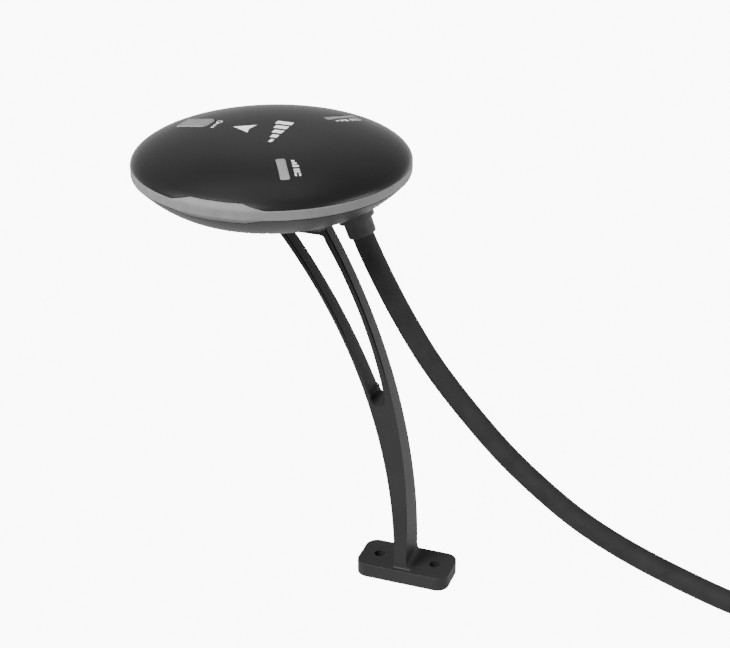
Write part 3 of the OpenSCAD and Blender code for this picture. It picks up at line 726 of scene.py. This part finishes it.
cutter = bmesh.new()
loft(cutter, [gap(-6), gap(6)])
carve(mast, cutter)
carve(mast, round_plate(FOOT_L, FOOT_W, 2.8, 0, 0, FOOT_T, 0.12), "UNION")
carve(mast, round_plate(20, 12, 2.6, PLATE_X, PLATE_Z, PUCK_Z, 0.12), "UNION")
for edge, bottom in (("right", 48), ("left_in", 50)):
    groove = []
    for z in (bottom + (84 - bottom) * k / 24 for k in range(25)):
        x, front, deep = edge_x(edge, z) - 0.26, -half_depth(z), 0.04 + 0.36 * min(1, (z - bottom) / 12)
        groove.append([(x - 0.22, front - 0.5, z), (x + 0.14, front - 0.5, z), (x + 0.06, front + deep, z),
                       (x - 0.14, front + deep, z)])
    cutter = bmesh.new()
    loft(cutter, groove)
    carve(mast, cutter)
cutter = bmesh.new()
for side in (-1, 1):
    disc(cutter, (side * FOOT_HOLE_X, 0, -1), 1.2, 6)
carve(mast, cutter)
cutter = bmesh.new()
for x, y in PLATE_SCREWS:
    disc(cutter, (x, y, PLATE_Z - 1), 1.1, 4)
carve(mast, cutter)
soften(mast, 0.1, 40, 2)


# ---- screws ----
# Blackened steel pan-head screws with a hex recess: four hold the plate under the disc, and
# four longer ones in pockets clamp the two covers together through the board.
HEAD_T = 1.1


def pan_screw(bm, at, head_z, length):
    """Screw that points up, its head between head_z and head_z + HEAD_T."""
    hex_r, shank_r = 0.9, 0.97
    profile = [(0, 0.5), (hex_r, 0.5), (hex_r, 0.04), (0.96, 0), (1.45, 0), (1.66, 0.1), (1.78, 0.32),
               (1.8, 0.5), (1.8, HEAD_T), (shank_r, HEAD_T), (shank_r, HEAD_T + length)]
    rows = []
    for r, z in profile:
        if r == 0:
            rows.append([(at[0], at[1], head_z + z)])
            continue
        ring = []
        for k in range(48):
            a = 2 * math.pi * k / 48
            q = r * math.cos(math.pi / 6) / math.cos((a % (math.pi / 3)) - math.pi / 6) if r == hex_r else r
            ring.append((at[0] + q * math.cos(a), at[1] + q * math.sin(a), head_z + z))
        rows.append(ring)
    rows.append([(at[0], at[1], head_z + HEAD_T + length)])
    loft(bm, rows)


oxide, shader, point = surface("black_oxide", Metallic=0.85, Specular_IOR_Level=0.5)
worn = point.noise(1500, 4)
paint(shader, height=point.noise(6000, 2), depth=0.00001,
      Base_Color=worn.ramp(0.45, 0.75).blend(grey(0.045), grey(0.12)), Roughness=0.34 + 0.2 * worn)
bm = bmesh.new()
for at in PLATE_SCREWS:
    pan_screw(bm, at, PLATE_Z - HEAD_T, 4.4)
settle("mast_screws", bm, [oxide], "root", ["bracket_screws"])
bm = bmesh.new()
for x, y in COVER_SCREWS:
    pan_screw(bm, (PUCK_X + x, y), POCKET_Z - HEAD_T, 7.8)
settle("case_screws", bm, [oxide], "root", ["cover_screws"])

# ---- collar ----
# A black rubber strain relief, moulded in one with a flange that seats in the bowl. The lead
# runs through it, and a knot of glue holds both inside.
rubber, shader, point = surface("collar_rubber", Specular_IOR_Level=0.25)
bloom = point.noise(400, 4)
paint(shader, height=point.noise(3000, 3), depth=0.00003,
      Base_Color=bloom.ramp(0.3, 0.7).blend(grey(0.02), grey(0.028)), Roughness=0.42 + 0.14 * bloom)
turn = AXIS.to_track_quat("Z", "Y")
neck = [(2.42, 0.25), (2.5, 0.06), (2.62, 0), (2.78, 0), (2.95, 0.05), (3.06, 0.17), (3.1, 0.35),
        (3.12, 1.6), (3.16, 3.3), (3.24, 3.48)]
flange = [(3.4, 3.56), (3.75, 3.58), (3.88, 3.63), (3.95, 3.78), (3.95, 5.2), (3.0, 5.2), (3.0, 7.7),
          (3.95, 7.7), (3.95, 8.5), (2.42, 8.5)]
round_it = [2 * math.pi * k / 72 for k in range(72)]
bm = bmesh.new()
loft(bm, [[EXIT + turn @ Vector((r * math.cos(a), r * math.sin(a), z)) for a in round_it]
          for r, z in neck + flange], closed=True)
collar = settle("lead_collar", bm, [rubber], "root", ["cable_collar"])

# ---- coil tie ----
# A soft rubber strap goes round the two turns and its stud keeps the coil flat.
strap, shader, point = surface("tie_rubber", Specular_IOR_Level=0.4)
rib = point.noise(900, 3)
paint(shader, height=point.noise(4000, 2), depth=0.00003,
      Base_Color=rib.ramp(0.3, 0.7).blend(grey(0.012), grey(0.02)), Roughness=0.5 + 0.15 * rib)
direction = math.radians(TIE_ANGLE)
along = Vector((math.cos(direction), math.sin(direction), 0))
across = Vector((-math.sin(direction), math.cos(direction), 0))
STRAP_W, STUD_AT, STUD_Z = 3, 23.2, 5.7


def wrap(r):
    """The strap's outline at one distance round the two turns: distance from the coil's middle, height."""
    return [(centre + r * math.cos(math.radians(start + k)), 2.94 + r * math.sin(math.radians(start + k)))
            for centre, start in ((25.62, -90), (20.78, 90)) for k in range(0, 181, 12)]


bm = bmesh.new()
loft(bm, [[COIL + along * r + across * y + Vector((0, 0, z)) for r, z in wrap(away)]
          for away, y in ((2.44, -STRAP_W / 2), (2.92, -STRAP_W / 2), (2.92, STRAP_W / 2),
                          (2.44, STRAP_W / 2))], closed=True)
disc(bm, COIL + along * STUD_AT + Vector((0, 0, STUD_Z)), 1.1, 0.35, sides=32, top=0.9)
tie = settle("coil_tie", bm, [strap], "root", ["cable_tie"])
soften(tie, 0.08, 40)

# ---- sleeve, wires and plug ----
# The jacket ends in a shrunk sleeve. Ten silicone-covered wires fan out of it into a small
# natural-nylon plug with a row of crimped contacts and a latch.
shrink, shader, point = surface("shrink_sleeve", Specular_IOR_Level=0.45)
crease_and_painted_shade = point.noise(700, 4)
# The colour follows the crease bump: darker in the hollows and lighter on the ridges, which is painted
# shade.
paint(shader, height=crease_and_painted_shade, depth=0.00008,
      Base_Color=crease_and_painted_shade.ramp(0.3, 0.7).blend(grey(0.009), grey(0.015)), Roughness=0.34 + 0.2 * crease_and_painted_shade)
SLEEVE_Z = 2.8
shrunk = [(2.42, -0.1), (2.62, -0.1), (2.74, 0.1), (2.8, 0.6), (2.78, 2.2), (2.8, 4.4), (2.76, 6.1),
          (2.62, 6.8), (2.45, SLEEVE_L)]
round_it = [2 * math.pi * k / 40 for k in range(40)]
bm = bmesh.new()
rows = [[beyond(r * math.cos(a), TAIL_L + y, SLEEVE_Z + r * math.sin(a)) for a in round_it]
        for r, y in shrunk]
loft(bm, [*rows, [beyond(0, TAIL_L + SLEEVE_L, SLEEVE_Z)]])
sleeve = settle("shrink_sleeve", bm, [shrink], "root", ["lead_sleeve"])

WIRES = [(0.45, 0.02, 0.015), (0.012, 0.012, 0.013), (0.6, 0.58, 0.54), (0.55, 0.4, 0.03),
         (0.03, 0.22, 0.06), (0.02, 0.06, 0.35), (0.42, 0.14, 0.02), (0.16, 0.16, 0.17),
         (0.14, 0.06, 0.025), (0.22, 0.05, 0.25)]
PITCH = 1.25
insulation = []
for i, colour in enumerate(WIRES):
    look, shader, point = surface(f"wire_{i}", Specular_IOR_Level=0.5)
    tint = point.noise(900, 3)
    paint(shader, height=point.noise(2600, 3), depth=0.00002,
          Base_Color=tint.ramp(0.3, 0.7).blend((*[c * 0.82 for c in colour], 1), (*colour, 1)),
          Roughness=0.34 + 0.14 * tint)
    insulation.append(look)
FAN_Y = TAIL_L + SLEEVE_L
PLUG_Y = FAN_Y + FAN_L
bm = bmesh.new()
for i in range(10):
    k, lower, bow = i - 4.5, i % 2, 0.5 * math.sin(2.1 * i)
    tube(bm, curve_through([beyond(0.42 * k, FAN_Y - 0.5, 2.75 - 0.12 * lower),
                            beyond(0.48 * k, FAN_Y + 2, 2.65 - 0.2 * lower),
                            beyond(0.84 * k, FAN_Y + 7, 2.1 + bow * 0.7),
                            beyond(1.2 * k, FAN_Y + 11.4, 1.85 + bow * 0.3),
                            beyond(PITCH * k, PLUG_Y + 0.4, 1.8)], 0.8), 0.45, 14, i)
wires = settle("wire_fan", bm, insulation, "root", ["lead_wires"], 60)


def block(bm, low, high, edge, slot=0):
    """Box between two corners in millimetres with eased edges."""
    made = bmesh.ops.create_cube(bm, size=1)["verts"]
    middle, span = (Vector(low) + Vector(high)) / 2 * MM, (Vector(high) - Vector(low)) * MM
    bmesh.ops.transform(bm, verts=made, matrix=Matrix.Translation(middle) @ Matrix.Diagonal((*span, 1)))
    rim = list({e for v in made for e in v.link_edges})
    faces = {f for v in made for f in v.link_faces}
    done = bmesh.ops.bevel(bm, geom=rim, offset=edge * MM, segments=2, profile=0.5, affect="EDGES",
                           material=-1)
    for face in faces | set(done["faces"]):
        if face.is_valid:
            face.material_index = slot


natural, shader, point = surface("natural_nylon", Specular_IOR_Level=0.5)
milky = point.noise(500, 3)
paint(shader, height=point.noise(3500, 2), depth=0.00001,
      Base_Color=milky.ramp(0.3, 0.7).blend((0.62, 0.6, 0.53, 1), (0.7, 0.68, 0.61, 1)),
      Roughness=0.36 + 0.12 * milky)
bm = bmesh.new()
block(bm, beyond(-7.37, PLUG_Y, 0), beyond(7.37, PLUG_Y + 6, 3.6), 0.16)
plug = settle("plug_shell", bm, [natural], "root", ["plug_housing"])
cuts = [((-1, -1, 3.2), (-0.7, 4, 4)), ((0.7, -1, 3.2), (1, 4, 4)),
        ((-8, 3.6, -1), (-6.9, 7, 0.5)), ((6.9, 3.6, -1), (8, 7, 0.5))]
contact_x = [PITCH * (i - 4.5) for i in range(10)]
for x in contact_x:
    cuts += [((x - 0.4, 2.9, 1.2), (x + 0.4, 7, 2.4)), ((x - 0.45, -1, 1.3), (x + 0.45, 0.8, 2.3)),
             ((x - 0.28, 1.4, 2.9), (x + 0.28, 3.4, 4))]
for low, high in cuts:
    cutter = bmesh.new()
    block(cutter, beyond(low[0], PLUG_Y + low[1], low[2]), beyond(high[0], PLUG_Y + high[1], high[2]), 0.03)
    carve(plug, cutter)
soften(plug, 0.05, 40)

gold, shader, point = surface("contact_plating", Metallic=1.0)
rub = point.noise(3000, 3)
paint(shader, height=rub, depth=0.000006,
      Base_Color=rub.ramp(0.3, 0.7).blend((0.62, 0.46, 0.16, 1), (0.78, 0.6, 0.24, 1)),
      Roughness=0.22 + 0.2 * rub)
bm = bmesh.new()
for x in contact_x:
    block(bm, beyond(x - 0.25, PLUG_Y + 3.1, 1.4), beyond(x + 0.25, PLUG_Y + 5.3, 2.2), 0.06)
    block(bm, beyond(x - 0.12, PLUG_Y + 5, 1.6), beyond(x + 0.12, PLUG_Y + 5.5, 2.0), 0.04)
contacts = settle("plug_terminals", bm, [gold], "root", ["plug_contacts"])
[list(p * MM) for p in route]


# ---- inside ----
# The board with its ceramic patch antenna, chips, lamps and switch, and the moulded-in brass
# inserts. The covers hide them, so the CAD solids stay and only get their own surfaces.
def plain(name, colour, dark, rough, spread, grain, depth, metallic=0.0):
    """Surface with a slow drift between two shades and a fine grain."""
    look, shader, point = surface(name, Metallic=metallic)
    drift = point.noise(spread, 4)
    paint(shader, height=point.noise(grain, 3), depth=depth,
          Base_Color=drift.ramp(0.3, 0.7).blend((*dark, 1), (*colour, 1)), Roughness=rough + 0.15 * drift)
    return look


board_look, shader, point = surface("solder_mask", Specular_IOR_Level=0.5)
cells = point.node("TexVoronoi", settings={"feature": "DISTANCE_TO_EDGE"}, Vector=point, Scale=420)
traces = 1 - cells.ramp(0.02, 0.06)
paint(shader, height=traces, depth=0.00003,
      Base_Color=traces.blend((0.012, 0.11, 0.05, 1), (0.02, 0.17, 0.07, 1)),
      Roughness=0.3 + 0.1 * point.noise(900, 2))
INSIDE = [
    (["main_board"], "board_green", board_look),
    (["housing_seal"], "seal_rubber",
     plain("seal_rubber", (0.03, 0.03, 0.03), (0.02, 0.02, 0.02), 0.6, 500, 4000, 2e-5)),
    (["patch_antenna"], "antenna_ceramic",
     plain("fired_ceramic", (0.62, 0.55, 0.42), (0.52, 0.45, 0.33), 0.5, 900, 5000, 2e-5)),
    (["antenna_electrode", "antenna_feed"], "electrode_silver",
     plain("silver_paste", (0.78, 0.77, 0.72), (0.62, 0.61, 0.57), 0.3, 1200, 5000, 1e-5, 1.0)),
    (["gnss_chip", "compass_chip", "buzzer", "switch_body"], "chip_black",
     plain("chip_epoxy", (0.03, 0.03, 0.032), (0.02, 0.02, 0.02), 0.5, 900, 6000, 1e-5)),
    (["shield_can"], "can_tin",
     plain("tinned_steel", (0.7, 0.7, 0.68), (0.55, 0.55, 0.54), 0.25, 1000, 4000, 1e-5, 1.0)),
    (["switch_plunger", "status_leds", "board_header", "inner_plug"], "plug_white", natural),
    (["inner_leads"], "lead_colours", insulation[7]),
    (["threaded_inserts"], "insert_brass",
     plain("brass", (0.72, 0.52, 0.22), (0.58, 0.4, 0.15), 0.28, 1500, 4000, 2e-5, 1.0)),
]
for names, slot, look in INSIDE:
    for name in names:
        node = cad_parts[name]
        node.data.materials.clear()
        node.data.materials.append(look)
